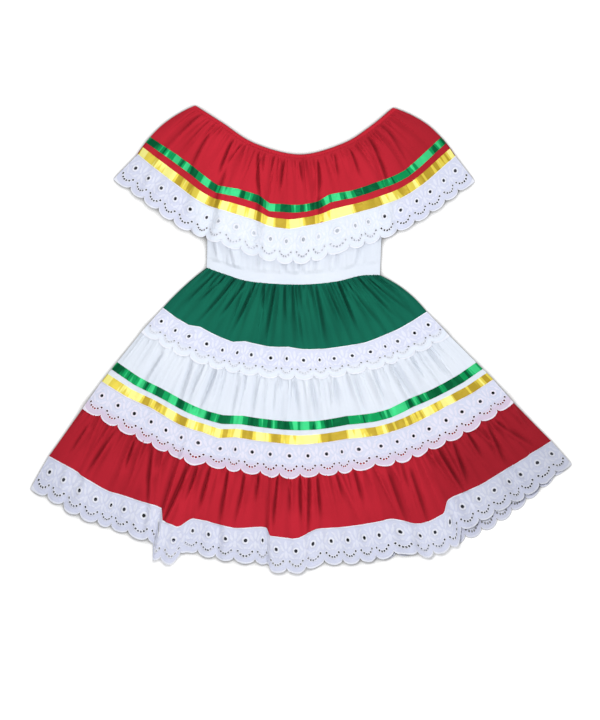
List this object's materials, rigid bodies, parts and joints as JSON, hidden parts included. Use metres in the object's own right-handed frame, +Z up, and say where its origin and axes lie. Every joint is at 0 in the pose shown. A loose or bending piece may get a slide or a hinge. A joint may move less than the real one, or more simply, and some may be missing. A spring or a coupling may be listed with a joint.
{
  "type": "mexican folk dress",
  "caption": "Child's off-shoulder tiered folk dress laid flat, with a ruffled flounce, an elastic waist, satin ribbons and scalloped eyelet lace.",
  "frame": {"origin": "middle of the laid dress, on the surface it lies on", "axes": "+X across the dress towards its right side as seen from above, +Y towards the neck, +Z up out of the front"},
  "size_m": [0.732, 0.6306, 0.0171],
  "materials": {
    "red_cotton": "matt woven cotton, crimson red",
    "green_cotton": "matt woven cotton, deep green",
    "white_cotton": "matt woven cotton, white",
    "white_lace": "embroidered cotton eyelet lace, white",
    "green_satin": "shiny satin ribbon, green",
    "yellow_satin": "shiny satin ribbon, yellow"
  },
  "bodies": {
    "root": {"neck_casing_front": "red_cotton", "neck_casing_back": "red_cotton", "yoke_front": "red_cotton", "yoke_back": "red_cotton", "yoke_green_ribbon_front": "green_satin", "yoke_green_ribbon_back": "green_satin", "yoke_yellow_ribbon_front": "yellow_satin", "yoke_yellow_ribbon_back": "yellow_satin", "yoke_lace_front": "white_lace", "yoke_lace_back": "white_lace", "bodice_front": "white_cotton", "bodice_back": "white_cotton", "waist_band_front": "white_cotton", "waist_band_back": "white_cotton", "green_tier_front": "green_cotton", "green_tier_back": "green_cotton", "upper_lace_front": "white_lace", "upper_lace_back": "white_lace", "white_tier_front": "white_cotton", "white_tier_back": "white_cotton", "skirt_green_ribbon_front": "green_satin", "skirt_green_ribbon_back": "green_satin", "skirt_yellow_ribbon_front": "yellow_satin", "skirt_yellow_ribbon_back": "yellow_satin", "lower_lace_front": "white_lace", "lower_lace_back": "white_lace", "red_tier_front": "red_cotton", "red_tier_back": "red_cotton", "hem_lace_front": "white_lace", "hem_lace_back": "white_lace"}
  },
  "joints": []
}
